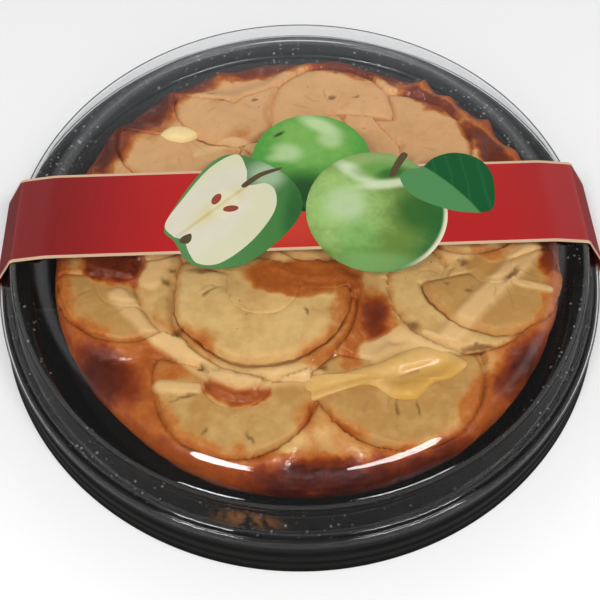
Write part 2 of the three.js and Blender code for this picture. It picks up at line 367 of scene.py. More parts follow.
def pillow(name, outline, low, high, fullness, segments, rings):
    """A rounded closed form over an outline, made from a sphere: flat below, domed above."""
    ball = {"segments": segments, "ring_count": rings, "radius": 1}
    obj = fresh(bpy.ops.mesh.primitive_uv_sphere_add, name, **ball)
    shape = smooth_outline(outline, segments)
    centre = sum(shape, Vector((0, 0))) / segments
    for vertex in obj.data.vertices:
        x, y, z = vertex.co
        across = math.hypot(x, y)
        turn = math.atan2(y, x) / (2 * math.pi) * segments
        edge = shape[round(turn) % segments]
        reach = centre.lerp(edge, across**fullness)
        level = low + (high - low) * (0.35 + 0.65 * z if z > 0 else 0.35 + 0.35 * z)
        vertex.co = (reach.x * MM, reach.y * MM, level * MM)
    return obj


# Material helpers

def feed(tree, made, inputs):
    """Sets a node's inputs. Each is a value, or a socket that is joined to it."""
    for key, value in inputs.items():
        if isinstance(value, bpy.types.NodeSocket):
            tree.links.new(value, made.inputs[key])
        else:
            made.inputs[key].default_value = value
    return made


def node(tree, kind, inputs=None, **settings):
    """Adds a node, with settings and inputs."""
    made = tree.nodes.new(kind)
    for key, value in settings.items():
        setattr(made, key, value)
    return feed(tree, made, inputs or {})


def maths(tree, operation, *values, clamp=False):
    """A math node's result."""
    inputs = dict(enumerate(values))
    return node(tree, "ShaderNodeMath", inputs, operation=operation, use_clamp=clamp).outputs[0]


def times(tree, first, second):
    """Two values multiplied."""
    return maths(tree, "MULTIPLY", first, second)


def vector_maths(tree, operation, first, second=(0, 0, 0)):
    """A vector math node's outputs."""
    inputs = {0: first, 1: second}
    return node(tree, "ShaderNodeVectorMath", inputs, operation=operation).outputs


def turn_flat(tree, vector, angle):
    """A vector turned about the upright axis."""
    inputs = {"Vector": vector, "Angle": angle}
    return node(tree, "ShaderNodeVectorRotate", inputs, rotation_type="Z_AXIS").outputs[0]


def axes(tree, vector):
    """The x, y and z of a vector."""
    return node(tree, "ShaderNodeSeparateXYZ", {0: vector}).outputs


def attribute(tree, name):
    """A number that the piece stores at each vertex."""
    return node(tree, "ShaderNodeAttribute", attribute_name=name).outputs["Fac"]


def blend(tree, factor, first, second):
    """Two colours mixed by a factor."""
    inputs = {0: factor, 6: first, 7: second}
    return node(tree, "ShaderNodeMix", inputs, data_type="RGBA").outputs[2]


def spread(tree, value, low, high, start=0.0, end=1.0):
    """A value spread smoothly from one range to another."""
    inputs = {"Value": value, "From Min": low, "From Max": high, "To Min": start, "To Max": end}
    return node(tree, "ShaderNodeMapRange", inputs, interpolation_type="SMOOTHSTEP").outputs[0]


def ramp(tree, value, stops):
    """A colour ramp with stops of (place, colour)."""
    made = node(tree, "ShaderNodeValToRGB", {"Fac": value})
    elements = made.color_ramp.elements
    while len(elements) < len(stops):
        elements.new(0.5)
    for element, (place, colour) in zip(elements, stops):
        element.position = place
        element.color = (*colour, 1)
    return made.outputs["Color"]


def noise_texture(tree, vector, scale, detail, roughness):
    """A noise texture's outputs."""
    inputs = {"Vector": vector, "Scale": scale, "Detail": detail, "Roughness": roughness}
    return node(tree, "ShaderNodeTexNoise", inputs).outputs


def grain(tree, vector, size, detail=3, roughness=0.55):
    """Noise with features of that size in millimetres."""
    return noise_texture(tree, vector, 1000 / size, detail, roughness)["Fac"]


def new_group(name, inputs, outputs):
    """A shader node group with named inputs and outputs: its tree, input sockets and output sockets."""
    tree = bpy.data.node_groups.new(name, "ShaderNodeTree")
    for label, kind, value in inputs:
        kind = f"NodeSocket{kind}"
        socket = tree.interface.new_socket(name=label, in_out="INPUT", socket_type=kind)
        if value is not None:
            socket.default_value = value
    for label, kind in outputs:
        kind = f"NodeSocket{kind}"
        tree.interface.new_socket(name=label, in_out="OUTPUT", socket_type=kind)
    start = tree.nodes.new("NodeGroupInput")
    end = tree.nodes.new("NodeGroupOutput")
    return tree, start.outputs, end.inputs


def use_group(tree, name, inputs):
    """Places a node group with its own values, and gives its outputs."""
    return node(tree, "ShaderNodeGroup", inputs, node_tree=bpy.data.node_groups[name]).outputs


def new_material(name, **constants):
    """Makes a material with a Principled shader: its tree, its shader node and the place sockets."""
    material = bpy.data.materials.new(name)
    material.use_nodes = True
    tree = material.node_tree
    shader = tree.nodes["Principled BSDF"]
    for key, value in constants.items():
        shader.inputs[key.replace("_", " ")].default_value = value
    return tree, shader, node(tree, "ShaderNodeTexCoord").outputs["Object"]


def bump(tree, shader, height, distance, strength):
    """Joins a height to the shader's normal."""
    inputs = {"Height": height, "Distance": distance * MM, "Strength": strength}
    made = node(tree, "ShaderNodeBump", inputs)
    feed(tree, shader, {"Normal": made.outputs["Normal"]})


def soft_spot_group():
    """A soft-edged oval patch: 1 inside it and 0 outside."""
    tree, given, result = new_group(
        "soft_spot",
        (
            ("Vector", "Vector", None),
            ("Centre", "Vector", (0, 0, 0)),
            ("Radii", "Vector", (0.01, 0.01, 1)),
            ("Turn", "Float", 0.0),
            ("Softness", "Float", 0.3),
        ),
        (("Mask", "Float"),),
    )
    away = vector_maths(tree, "SUBTRACT", given["Vector"], given["Centre"])[0]
    turned = turn_flat(tree, away, given["Turn"])
    scaled = vector_maths(tree, "DIVIDE", turned, given["Radii"])[0]
    length = vector_maths(tree, "LENGTH", scaled)["Value"]
    outer = maths(tree, "ADD", 1.0, given["Softness"])
    inner = maths(tree, "SUBTRACT", 1.0, given["Softness"])
    tree.links.new(spread(tree, length, outer, inner), result["Mask"])


def spot(tree, vector, centre, radii, turn, softness):
    """A soft oval patch placed in millimetres."""
    values = {
        "Vector": vector,
        "Centre": (centre[0] * MM, centre[1] * MM, 0),
        "Radii": (radii[0] * MM, radii[1] * MM, 5),
        "Turn": math.radians(-turn),
        "Softness": softness,
    }
    return use_group(tree, "soft_spot", values)["Mask"]


def dab(tree, vector, under, tone, centre, radii, turn, softness, amount):
    """A colour with a soft oval patch of another tone laid on it."""
    mask = times(tree, spot(tree, vector, centre, radii, turn, softness), amount)
    return blend(tree, mask, under, (*tone, 1))


def glaze_map_group():
    """How deep the glaze lies at a place of the tart, 0 to 1."""
    tree, given, result = new_group(
        "glaze_map",
        (("Vector", "Vector", None), ("Waver", "Float", 0.006)),
        (("Depth", "Float"),),
    )
    drift = noise_texture(tree, given["Vector"], 90, 3, 0.6)["Color"]
    centred = vector_maths(tree, "SUBTRACT", drift, (0.5, 0.5, 0.5))[0]
    sway = {0: centred, "Scale": given["Waver"]}
    pushed = node(tree, "ShaderNodeVectorMath", sway, operation="SCALE").outputs[0]
    moved = vector_maths(tree, "ADD", given["Vector"], pushed)[0]
    whole = None
    for centre, radii, turn, depth, softness in POOLS:
        mask = times(tree, spot(tree, moved, centre, radii, turn, softness), depth)
        whole = mask if whole is None else maths(tree, "MAXIMUM", whole, mask)
    rim = spot(tree, moved, (TART_OFFSET, 0), (GLAZE_RING, GLAZE_RING), 0, 0.06)
    ring = times(tree, maths(tree, "SUBTRACT", 1.0, rim), 0.6)
    tree.links.new(maths(tree, "MAXIMUM", whole, ring), result["Depth"])


def baked_fruit_group():
    """The colour of baked fruit and batter under glaze of a given depth."""
    tree, given, result = new_group(
        "baked_fruit",
        (
            ("Vector", "Vector", None),
            ("Depth", "Float", 0.0),
            ("Tone", "Float", 0.0),
            ("Pale", "Color", (0.72, 0.47, 0.18, 1)),
            ("Deep", "Color", (0.48, 0.255, 0.072, 1)),
            ("Specks", "Float", 0.4),
            ("Blush", "Float", 0.65),
        ),
        (("Color", "Color"), ("Wet", "Float"), ("Height", "Float")),
    )
    place = given["Vector"]
    soft = grain(tree, place, 16, 4, 0.6)
    fine = grain(tree, place, 1.6, 4, 0.65)
    middling = grain(tree, place, 5, 3, 0.6)
    tone = maths(tree, "ADD", given["Tone"], spread(tree, soft, 0.38, 0.68, 0.0, 0.4), clamp=True)
    tone = maths(tree, "ADD", tone, spread(tree, middling, 0.35, 0.65, -0.14, 0.14), clamp=True)
    flesh = blend(tree, tone, given["Pale"], given["Deep"])
    # The flesh turns pinker towards the back
    north = axes(tree, place)["Y"]
    pinker_to_back = times(tree, spread(tree, north, 0.01, 0.035), given["Blush"])
    flesh = blend(tree, pinker_to_back, flesh, (0.73, 0.375, 0.18, 1))
    grit = times(tree, spread(tree, fine, 0.55, 0.8), 0.25)
    flesh = blend(tree, grit, flesh, given["Deep"])
    speck = spread(tree, grain(tree, place, 2.2, 1, 0.4), 0.76, 0.8)
    speck = times(tree, speck, given["Specks"])
    flesh = blend(tree, speck, flesh, (0.2, 0.1, 0.03, 1))
    wander = maths(tree, "SUBTRACT", grain(tree, place, 7, 4, 0.65), 0.5)
    wander = times(tree, wander, 0.3)
    depth = maths(tree, "ADD", given["Depth"], wander, clamp=True)
    amber = (
        (0.0, (0.64, 0.36, 0.13)),
        (0.22, (0.56, 0.23, 0.055)),
        (0.45, (0.42, 0.105, 0.013)),
        (0.68, (0.23, 0.036, 0.005)),
        (1.0, (0.05, 0.005, 0.002)),
    )
    glaze = ramp(tree, depth, amber)
    shallow = spread(tree, depth, 0.62, 0.3, 0.0, 0.4)
    gold = times(tree, spread(tree, fine, 0.5, 0.68), shallow)
    glaze = blend(tree, gold, glaze, (0.6, 0.27, 0.05, 1))
    cover = spread(tree, depth, 0.04, 0.34)
    tree.links.new(blend(tree, cover, flesh, glaze), result["Color"])
    tree.links.new(cover, result["Wet"])
    lumps = times(tree, grain(tree, place, 3.5, 2, 0.5), cover)
    lumps = times(tree, lumps, 3.0)
    height = maths(tree, "ADD", times(tree, fine, 0.5), soft)
    tree.links.new(maths(tree, "ADD", height, lumps), result["Height"])


def droplets_group():
    """Small scattered droplets on black plastic."""
    tree, given, result = new_group(
        "droplets",
        (
            ("Vector", "Vector", None),
            ("Size", "Float", 300.0),
            ("Amount", "Float", 0.1),
            ("Spread", "Float", 0.0),
        ),
        (("Mask", "Float"),),
    )
    layout = {"Vector": given["Vector"], "Scale": given["Size"], "Randomness": 1.0}
    cells = node(tree, "ShaderNodeTexVoronoi", layout).outputs
    where = noise_texture(tree, given["Vector"], 40, 3, 0.6)["Fac"]
    dot = spread(tree, cells["Distance"], given["Amount"], 0.0)
    lot = node(tree, "ShaderNodeSeparateColor", {"Color": cells["Color"]}).outputs["Red"]
    dot = times(tree, dot, maths(tree, "GREATER_THAN", lot, 0.6))
    where = maths(tree, "ADD", where, given["Spread"])
    tree.links.new(times(tree, dot, spread(tree, where, 0.42, 0.56)), result["Mask"])


# Materials

def fruit_material(name, pale, deep, specks, coat):
    """Baked fruit flesh with glaze run over it, dull but for scattered wet spots."""
    tree, shader, place = new_material(
        name,
        Subsurface_Weight=0.12,
        Subsurface_Scale=0.004,
        Subsurface_Radius=(1.0, 0.45, 0.2),
        Specular_IOR_Level=0.12,
        Coat_Roughness=0.05,
        Coat_IOR=1.45,
    )
    depth = use_group(tree, "glaze_map", {"Vector": place, "Waver": 0.012})["Depth"]
    own = attribute(tree, "glaze")
    whole = maths(tree, "MAXIMUM", times(tree, depth, coat), own)
    pale_mark = attribute(tree, "cream")
    whole = maths(tree, "SUBTRACT", whole, times(tree, pale_mark, 0.6), clamp=True)
    tone = attribute(tree, "tone")
    values = {
        "Vector": place,
        "Depth": whole,
        "Tone": tone,
        "Pale": pale,
        "Deep": deep,
        "Specks": specks,
        "Blush": 0.0 if name == "fruit_lump" else 0.65,
    }
    baked = use_group(tree, "baked_fruit", values)
    creamy = times(tree, pale_mark, 0.8)
    colour = blend(tree, creamy, baked["Color"], (0.78, 0.5, 0.22, 1))
    # Painted shade: the hole mark darkens holes, cracks and the creases along the slices, and also carries
    # the slices' real vein lines
    dark = attribute(tree, "hole")
    colour = blend(tree, dark, colour, (0.17, 0.07, 0.016, 1))
    feed(tree, shader, {"Base Color": colour, "Roughness": spread(tree, baked["Wet"], 0, 1, 0.45, 0.4)})
    wet = spread(tree, grain(tree, place, 5, 3, 0.6), 0.54, 0.66, 0.05, 0.8)
    wet = times(tree, wet, spread(tree, baked["Wet"], 0, 1, 0.35, 1.0))
    gloss = attribute(tree, "gloss")
    feed(tree, shader, {"Coat Weight": maths(tree, "MAXIMUM", wet, gloss)})
    bump(tree, shader, baked["Height"], 0.35, 0.5)


def droplets(tree, vector, size, amount, extra=0.0):
    """A mask of scattered droplets."""
    values = {"Vector": vector, "Size": size, "Amount": amount, "Spread": extra}
    return use_group(tree, "droplets", values)["Mask"]


def black_plastic():
    """Glossy moulded black plastic with pale droplets on its ledge, the most of them at the back, a painted
    sheen that makes it lighter towards the back, and a painted reflection of the tart at the front.
    """
    tree, shader, place = new_material("moulded_black", IOR=1.37)
    fine = droplets(tree, place, 420.0, 0.3)
    coarse = droplets(tree, place, 240.0, 0.22)
    drops = maths(tree, "MAXIMUM", fine, coarse)
    dense = droplets(tree, place, 330.0, 0.34, 0.3)
    north = axes(tree, place)["Y"]
    dense = times(tree, dense, spread(tree, north, 0.02, 0.07))
    drops = maths(tree, "MAXIMUM", drops, dense)
    outer = spot(tree, place, (0, 0), (122.5, 122.5), 0, 0.012)
    inner = spot(tree, place, (0, 0), (112, 112), 0, 0.01)
    drops = times(tree, drops, maths(tree, "SUBTRACT", outer, inner, clamp=True))
    mottle = grain(tree, place, 9, 4, 0.6)
    base = blend(tree, mottle, (0.003, 0.003, 0.003, 1), (0.008, 0.008, 0.007, 1))
    # Painted sheen: the black turns lighter and bluer towards the back, standing in for the reflection
    # there
    far_painted_sheen = spread(tree, north, 0.03, 0.09, 0.0, 0.8)
    base = blend(tree, far_painted_sheen, base, (0.02, 0.024, 0.028, 1))
    # Painted reflection of the tart in the lid's wall, laid on the black at the front as a patchy
    # orange-brown
    tart_painted_reflection = spot(tree, place, (-19, -115.5), (11, 2.6), -9, 0.6)
    patchy = spread(tree, grain(tree, place, 4, 4, 0.6), 0.42, 0.6)
    tart_painted_reflection = times(tree, tart_painted_reflection, patchy)
    base = blend(tree, tart_painted_reflection, base, (0.16, 0.06, 0.015, 1))
    colour = blend(tree, drops, base, (0.3, 0.32, 0.33, 1))
    feed(tree, shader, {"Base Color": colour, "Roughness": spread(tree, mottle, 0.3, 0.7, 0.08, 0.22)})
    height = maths(tree, "ADD", grain(tree, place, 24, 2), times(tree, drops, 0.8))
    bump(tree, shader, height, 0.25, 0.4)


def clear_plastic():
    """Thin clear plastic: what is behind it shows through, and lamps shine through it."""
    tree, shader, place = new_material("thin_clear", IOR=1.36, Transmission_Weight=1.0)
    waves = grain(tree, place, 26, 2, 0.5)
    sheen = spread(tree, waves, 0.3, 0.7, 0.02, 0.05)
    feed(tree, shader, {"Base Color": (0.985, 0.99, 0.995, 1), "Roughness": sheen})
    bump(tree, shader, waves, 0.5, 0.3)
    clear = node(tree, "ShaderNodeBsdfTransparent", {"Color": (0.97, 0.972, 0.975, 1)})
    path = node(tree, "ShaderNodeLightPath")
    through = maths(tree, "MAXIMUM", path.outputs["Is Shadow Ray"], path.outputs["Is Diffuse Ray"])
    mix = node(tree, "ShaderNodeMixShader", {0: through, 1: shader.outputs[0], 2: clear.outputs[0]})
    tree.links.new(mix.outputs[0], tree.nodes["Material Output"].inputs["Surface"])


def draw_red_card(tree, place):
    """A deep red print with a pale line along each edge of the card."""
    lie = {"Vector": place, "Rotation": (0, 0, -SLEEVE_TURN), "Location": (0, -SLEEVE_SHIFT * MM, 0)}
    turned = node(tree, "ShaderNodeMapping", lie, vector_type="POINT").outputs[0]
    x, y, _ = axes(tree, turned)
    edge = spread(tree, maths(tree, "ABSOLUTE", y), 0.01925, 0.01935)
    mottle = grain(tree, place, 30, 3, 0.5)
    red = blend(tree, mottle, (0.4, 0.009, 0.01, 1), (0.48, 0.013, 0.013, 1))
    red = blend(tree, spread(tree, x, -0.045, -0.11), red, (0.2, 0.007, 0.008, 1))
    red = blend(tree, spread(tree, x, 0.07, 0.13), red, (0.3, 0.016, 0.016, 1))
    red = dab(tree, turned, red, (0.6, 0.07, 0.03), (-3, -6), (16, 14), 0, 0.7, 0.5)
    return blend(tree, edge, red, (0.62, 0.42, 0.27, 1))


def painted_fruit_group():
    """The printed skin of a round fruit, lit from one side, with fine streaks."""
    tree, given, result = new_group(
        "painted_skin",
        (
            ("Vector", "Vector", None),
            ("Centre", "Vector", (0, 0, 0)),
            ("Radii", "Vector", (0.02, 0.02, 1)),
            ("Light", "Vector", (-0.3, 0.4, 0.85)),
            ("Lit", "Color", (0.4, 0.6, 0.2, 1)),
            ("Middle", "Color", (0.12, 0.36, 0.05, 1)),
            ("Shade", "Color", (0.01, 0.08, 0.01, 1)),
        ),
        (("Color", "Color"),),
    )
    away = vector_maths(tree, "SUBTRACT", given["Vector"], given["Centre"])[0]
    scaled = vector_maths(tree, "DIVIDE", away, given["Radii"])[0]
    x, y, _ = axes(tree, scaled)
    squares = maths(tree, "ADD", times(tree, x, x), times(tree, y, y))
    rest = maths(tree, "SUBTRACT", 1.0, squares)
    up = maths(tree, "SQRT", maths(tree, "MAXIMUM", rest, 0.0))
    normal = node(tree, "ShaderNodeCombineXYZ", {0: x, 1: y, 2: up}).outputs[0]
    lit = vector_maths(tree, "DOT_PRODUCT", normal, given["Light"])["Value"]
    streak = maths(tree, "SUBTRACT", grain(tree, given["Vector"], 5, 4, 0.6), 0.5)
    value = maths(tree, "ADD", lit, times(tree, streak, 0.5))
    low = blend(tree, spread(tree, value, -0.15, 0.5), given["Shade"], given["Middle"])
    tree.links.new(blend(tree, spread(tree, value, 0.5, 1.05), low, given["Lit"]), result["Color"])


def painted_skin(tree, place, centre, radii, light, tones):
    """The skin of one round printed fruit, with its lit, middle and shaded tone."""
    values = {"Vector": place, "Centre": centre, "Radii": radii, "Light": light}
    for key, tone in zip(("Lit", "Middle", "Shade"), tones):
        values[key] = (*tone, 1)
    return use_group(tree, "painted_skin", values)["Color"]


def print_material(name, colour_of, specular=0.25, coat=0.12, **values):
    """Printed glossy card whose colour comes from a drawing function."""
    tree, shader, place = new_material(
        name, Roughness=0.4, Specular_IOR_Level=specular, Coat_Weight=coat, Coat_Roughness=0.15
    )
    feed(tree, shader, {"Base Color": colour_of(tree, place, **values)})
    bump(tree, shader, grain(tree, place, 0.35, 2, 0.6), 0.02, 0.3)


def draw_back_fruit(tree, place):
    """The whole fruit at the back of the print."""
    tones = ((0.2, 0.42, 0.09), (0.075, 0.3, 0.045), (0.004, 0.055, 0.012))
    skin = painted_skin(tree, place, (0.005, 0.031, 0.042), (0.0275, 0.028, 1), (0.0, 0.5, 0.8), tones)
    for centre, radii, turn, amount in (
        ((9, 51), (9, 3.4), -30, 0.75),
        ((13, 43), (5, 4), -20, 0.5),
        ((-5, 36), (6, 4.4), -15, 0.6),
        ((-10, 33), (4, 2), 0, 0.4),
    ):
        skin = dab(tree, place, skin, (0.55, 0.68, 0.38), centre, radii, turn, 0.6, amount)
    skin = dab(tree, place, skin, (0.004, 0.03, 0.008), (2, 16), (16, 9), 0, 0.7, 0.85)
    calyx = spot(tree, place, (-9, 46), (2.6, 0.8), 35, 0.6)
    return blend(tree, calyx, skin, (0.05, 0.06, 0.02, 1))


def draw_front_fruit(tree, place):
    """The large fruit at the front of the print, with the hollow round its stem."""
    tones = ((0.33, 0.52, 0.16), (0.13, 0.22, 0.04), (0.02, 0.13, 0.03))
    skin = painted_skin(tree, place, (0.0315, 0.006, 0.042), (0.031, 0.032, 1), (-0.55, 0.1, 0.8), tones)
    for centre, radii, turn, amount, tone in (
        ((49, 5), (9, 10), 30, 0.8, (0.012, 0.1, 0.015)),
        ((24, -10), (8, 12), 10, 0.35, (0.1, 0.36, 0.08)),
        ((30, -20), (16, 5), 0, 0.5, (0.22, 0.42, 0.14)),
        ((19, 9), (8, 8), 0, 0.65, (0.5, 0.62, 0.38)),
        ((36, 31), (20, 6), -4, 0.5, (0.36, 0.52, 0.2)),
        ((24, 25), (9, 3.2), -35, 0.85, (0.66, 0.74, 0.5)),
        ((37, 19.5), (12, 2.4), 8, 0.85, (0.62, 0.7, 0.46)),
        ((34, 26.5), (11, 4.4), 4, 0.85, (0.12, 0.3, 0.05)),
        ((39, 25), (6.5, 2.8), 12, 0.9, (0.025, 0.13, 0.02)),
    ):
        skin = dab(tree, place, skin, tone, centre, radii, turn, 0.55, amount)
    inner = spot(tree, place, (30.5, 6.5), (28.6, 29.6), 0, 0.03)
    right = spot(tree, place, (58, -8), (14, 20), 0, 0.6)
    rim = times(tree, maths(tree, "SUBTRACT", 1.0, inner), right)
    return blend(tree, rim, skin, (0.72, 0.7, 0.5, 1))


def draw_half_skin(tree, place):
    """The green skin beside the cut face of the halved fruit."""
    along = spread(tree, axes(tree, place)["X"], -0.045, 0.004)
    skin = blend(tree, along, (0.09, 0.24, 0.08, 1), (0.04, 0.17, 0.035, 1))
    skin = dab(tree, place, skin, (0.5, 0.6, 0.42), (-14, 24), (7, 7), 30, 0.6, 0.75)
    skin = dab(tree, place, skin, (0.006, 0.075, 0.015), (-2, 6), (4, 13), -8, 0.7, 0.8)
    fine = times(tree, grain(tree, place, 4, 4), 0.35)
    return blend(tree, fine, skin, (0.07, 0.2, 0.05, 1))


def draw_cut_face(tree, place):
    """The cream flesh of the halved fruit with its core line."""
    flesh = blend(tree, grain(tree, place, 12, 4), (0.72, 0.68, 0.54, 1), (0.62, 0.58, 0.45, 1))
    inner = spot(tree, place, (-38, 4), (13, 29), -37, 0.22)
    green = times(tree, maths(tree, "SUBTRACT", 1.0, inner), 0.35)
    flesh = blend(tree, green, flesh, (0.6, 0.64, 0.3, 1))
    for tone, *patch in (
        ((0.66, 0.56, 0.22), (-33, 8), (4, 13), -48, 0.8, 0.6),
        ((0.5, 0.36, 0.1), (-33, 8), (0.7, 21), -47, 0.8, 0.6),
        ((0.82, 0.78, 0.62), (-31, 9), (5.5, 7), -20, 0.25, 0.3),
    ):
        flesh = dab(tree, place, flesh, tone, *patch)
    return flesh


def draw_leaf(tree, place):
    """A leaf, darker beyond its middle vein."""
    away = vector_maths(tree, "SUBTRACT", place, (0.0535, 0.0275, 0.042))[0]
    turned = turn_flat(tree, away, math.radians(38))
    x, y, _ = axes(tree, turned)
    bow = times(tree, times(tree, x, x), 6.0)
    above = spread(tree, maths(tree, "ADD", y, bow), -0.0006, 0.0006)
    leaf = blend(tree, above, (0.075, 0.24, 0.08, 1), (0.002, 0.085, 0.02, 1))
    bands = {"Vector": turned, "Scale": 70, "Distortion": 2.0, "Detail": 1.0}
    veins = node(tree, "ShaderNodeTexWave", bands, wave_type="BANDS", bands_direction="DIAGONAL")
    veins = times(tree, spread(tree, veins.outputs["Fac"], 0.85, 1.0), 0.08)
    return blend(tree, veins, leaf, (0.06, 0.3, 0.12, 1))


def draw_plain(tree, place, light, dark, size):
    """One ink with a little unevenness."""
    return blend(tree, grain(tree, place, size, 3), light, dark)


# Shapes of the tart and its fruit

def along_way(x, y, way):
    """How far a point lies in a direction, which is in degrees."""
    return x * math.cos(math.radians(way)) + y * math.sin(math.radians(way))


def oval_reach(dx, dy, radii, turn):
    """How far out a point lies in a turned oval: 1 on its edge."""
    c, s = math.cos(math.radians(turn)), math.sin(math.radians(turn))
    return math.hypot((dx * c + dy * s) / radii[0], (dy * c - dx * s) / radii[1])


def past_end(angle, face, gape):
    """By how many degrees a direction lies in a slice's open side; less than 0 in its flesh."""
    off = (math.degrees(angle) - face + 180) % 360 - 180
    return gape / 2 - abs(off)


def slice_edge(place, x, y):
    """How far a point lies outside a slice's outline, in millimetres; less than 0 inside it."""
    (cx, cy, _), (radius, core), (face, gape), _ = place
    away = math.hypot(x - cx, y - cy)
    past = past_end(math.atan2(y - cy, x - cx), face, gape)
    cut = away * math.sin(math.radians(min(90, max(-90, past))))
    return max(away - radius, core - away, cut)


def slice_top(place, x, y):
    """The height of a slice's upper face at a point."""
    (cx, cy, lift), _, _, (tip, high) = place
    along = along_way(x - cx, y - cy, high)
    return SLICE_LEVEL + lift + SLICE_THICKNESS / 2 + along * math.tan(math.radians(tip))


def ridge_at(x, y):
    """How much of a pale ridge is at a point, and how high it stands there."""
    best, height = 0, 0
    for points, width, rise in RIDGES:
        for (ax, ay), (bx, by) in zip(points, points[1:]):
            length = math.hypot(bx - ax, by - ay)
            t = min(1, max(0, ((x - ax) * (bx - ax) + (y - ay) * (by - ay)) / length**2))
            gap = math.hypot(x - ax - t * (bx - ax), y - ay - t * (by - ay))
            share = smooth_step(width * 1.25, width * 0.45, gap)
            if share > best:
                best, height = share, rise
    return best, best * height


def hole_at(x, y):
    """How much of a small hole or crack is at a point."""
    most = 0
    x += 1.1 * fbm(x, y, 31, 3.5)
    y += 1.1 * fbm(x, y, 37, 3.5)
    for (cx, cy), radii, turn in HOLES:
        dx, dy = x - cx, y - cy
        if abs(dx) + abs(dy) > 9:
            continue
        reach = oval_reach(dx, dy, radii, turn)
        most = max(most, smooth_step(1.35, 0.4, reach) * 0.8)
    return most


def gel_at(x, y):
    """How deep the thick gel of a notch is at a point."""
    most = 0
    x += 3 * fbm(x, y, 51, 9)
    y += 2 * fbm(x, y, 57, 9)
    for (cx, cy), radii, turn, depth in GELS:
        reach = oval_reach(x - cx, y - cy, radii, turn)
        most = max(most, smooth_step(1.3, 0.75, reach) * depth)
    return most


def crag_at(angle):
    """How far the baked edge stands up at an angle in degrees."""
    return max(height * max(0, 1 - abs(angle - at) / width) for at, width, height in CRAGS)


def mark(obj, rows):
    """Stores a row of numbers at each vertex, in the order of MARKS."""
    for name, values in zip(MARKS, zip(*rows)):
        layer = obj.data.attributes.new(name, "FLOAT", "POINT")
        layer.data.foreach_set("value", values)


def dome_at(x, y, lift):
    """How far a slice's face swells or sinks at a point."""
    return 0.5 * fbm(x, y, lift * 5, 16) + 0.1 * fbm(x, y, 7, 4)


def tart_surface(x, y):
    """Height of the tart's top at a point, and how much glaze, ridge, hole with painted crease shade, tone
    and gloss is there.
    """
    radius = math.hypot(x - TART_OFFSET, y)
    level = 28.4 + 0.5 * fbm(x, y, 1, 22) + 0.25 * fbm(x, y, 5, 7)
    under, near, filled, tone = FAR, FAR, 0, 0
    gel = gel_at(x, y)
    fill = -FAR
    for name, place in SLICES.items():
        d = slice_edge(place, x, y)
        (cx, cy, lift), (_, core), _, _ = place
        reach = math.hypot(x - cx, y - cy) - core
        top = slice_top(place, x, y)
        face = top + dome_at(x, y, lift)
        if d < 0:
            under = min(under, top - 2.6)
            fill = -FAR
            if reach < 3.6 and core > SMALL_CORE:
                fill = face + 0.06 - 1.2 * smooth_step(2.4, 3.6, reach)
                filled, tone = 1, TONES.get(name, PLAIN_TONE)
            elif gel > 0.3 and d > -4:
                fill = face + 0.1 - 1.2 * smooth_step(-2.7, -4, d)
        elif d < 9 or reach < 0:
            flush = max(smooth_step(6, 0, reach) if core > SMALL_CORE else 0, 1.6 * gel)
            target = top - 0.35 - 0.5 * fbm(x, y, 61, 12) + 0.6 * min(1, flush)
            share = max(smooth_step(9, 0.6, d), flush)
            level += max(0, target - level) * share
            if core > SMALL_CORE and reach < 4:
                fill = face + 0.06 if reach < 0 else fill
                filled, tone = max(filled, smooth_step(4, 0, reach)), TONES.get(name, PLAIN_TONE)
        if reach > 4 or core < SMALL_CORE:
            near = min(near, abs(d))
    ridge, rise = ridge_at(x, y)
    hole = hole_at(x, y)
    if under < FAR:
        level = min(level, under)
    level = max(level, fill)
    groove = smooth_step(1.4, 0.1, near)
    level += rise * (1 if under == FAR else 0.6) - 0.1 * groove - 1.2 * hole
    level -= 1.6 * smooth_step(97, 106, radius)
    brim = smooth_step(74, 96, radius) * smooth_step(60, -20, y)
    film = 0.13 + 0.2 * brim + 0.26 * fbm(x, y, 9, 17)
    film *= 0.35 + 0.65 * smooth_step(50, 20, y)
    film *= 1 - 0.9 * filled
    film = max(film, gel)
    # Painted shade in the creases along the slices' edges, fading towards the back
    crease_shade = groove * smooth_step(0, 0.4, fbm(x, y, 21, 11)) * 0.22 * smooth_step(55, 25, y)
    gloss = min(0.25, 0.5 * gel + 0.1 * ridge)
    return level, film + 0.05 * groove, ridge, max(hole, crease_shade), tone * filled, gloss


def sculpt_tart(obj):
    """Moves the tart's points into waves, ridges, pools and crags, and marks them."""
    rows = []
    for vertex in obj.data.vertices:
        x, y, z = (value / MM for value in vertex.co)
        top = smooth_step(17, 26, z)
        radius = math.hypot(x, y)
        angle = math.atan2(y, x)
        edge = smooth_step(84, 103, radius)
        glaze, cream, hole, tone, gloss = 0.55, 0, 0, 0, 0
        if z > 12:
            wave = 0.5 * math.sin(3 * angle + 0.6) + 0.3 * math.sin(7 * angle + 2.1)
            wave += fbm(x, y, z, 13) * 0.8
            crag = crag_at(math.degrees(angle)) * smooth_step(94, 104, radius)
            level, glaze, cream, hole, tone, gloss = tart_surface(x + TART_OFFSET, y)
            z += (level - CROWN) * top + (0.4 * wave * edge + crag) * top
            push = 1 + (wave * 0.8 * edge + 0.2 * crag) / max(radius, 1)
            x, y = x * push, y * push
        vertex.co = ((x + TART_OFFSET) * MM, y * MM, z * MM)
        rows.append((glaze, cream * 0.9, hole, tone, gloss))
    mark(obj, rows)


